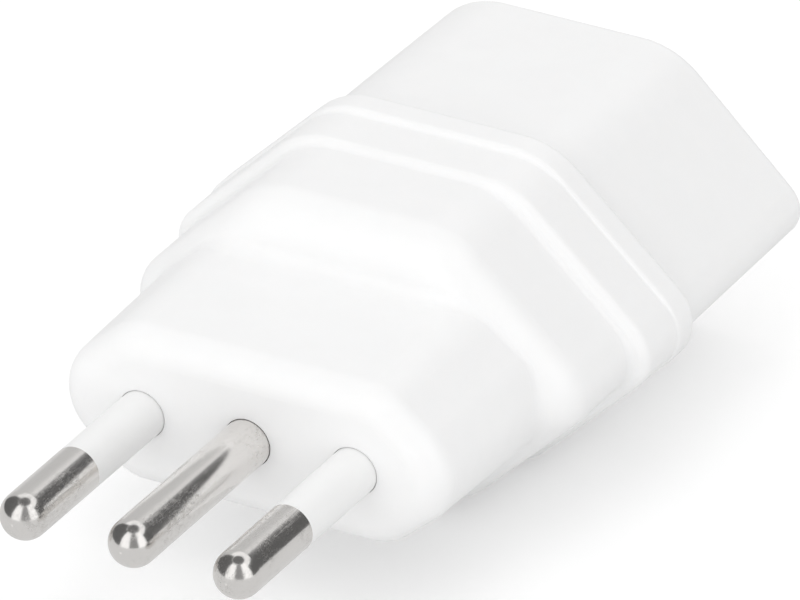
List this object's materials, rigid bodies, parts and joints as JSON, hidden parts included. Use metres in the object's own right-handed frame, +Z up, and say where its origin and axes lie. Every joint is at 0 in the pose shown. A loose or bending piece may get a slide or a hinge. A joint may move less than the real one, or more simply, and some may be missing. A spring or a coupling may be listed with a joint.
{
  "type": "travel adapter",
  "caption": "Compact plug adapter: in-line round pins with insulated live ends on a stepped nose, and a recessed hexagonal socket behind.",
  "frame": {"origin": "on the surface the adapter lies on, under the middle of its overall box", "axes": "+Y from the plug pins towards the socket, +Z up, +X along the row of pins"},
  "size_m": [0.0428, 0.0702, 0.0261],
  "materials": {
    "white_shell": "satin moulded white plastic",
    "white_sleeve": "satin white insulation",
    "nickel_pin": "bright nickel plating on brass",
    "bronze_contact": "bright rolled brass",
    "spring_steel": "tempered steel",
    "grey_insulator": "matt off-white moulding",
    "zinc_screw": "zinc plated steel"
  },
  "bodies": {
    "root": {"contact_carrier": "grey_insulator", "earth_contact": "bronze_contact", "earth_contact_rivet": "bronze_contact", "earth_contact_spring": "spring_steel", "earth_pin": "nickel_pin", "earth_strap": "bronze_contact", "left_housing_screw": "zinc_screw", "line_contact": "bronze_contact", "line_contact_spring": "spring_steel", "line_pin": "nickel_pin", "line_pin_sleeve": "white_sleeve", "neutral_contact": "bronze_contact", "neutral_contact_spring": "spring_steel", "neutral_pin": "nickel_pin", "neutral_pin_sleeve": "white_sleeve", "pin_holder": "grey_insulator", "plug_shell": "white_shell", "right_housing_screw": "zinc_screw", "socket_shell": "white_shell"}
  },
  "joints": []
}
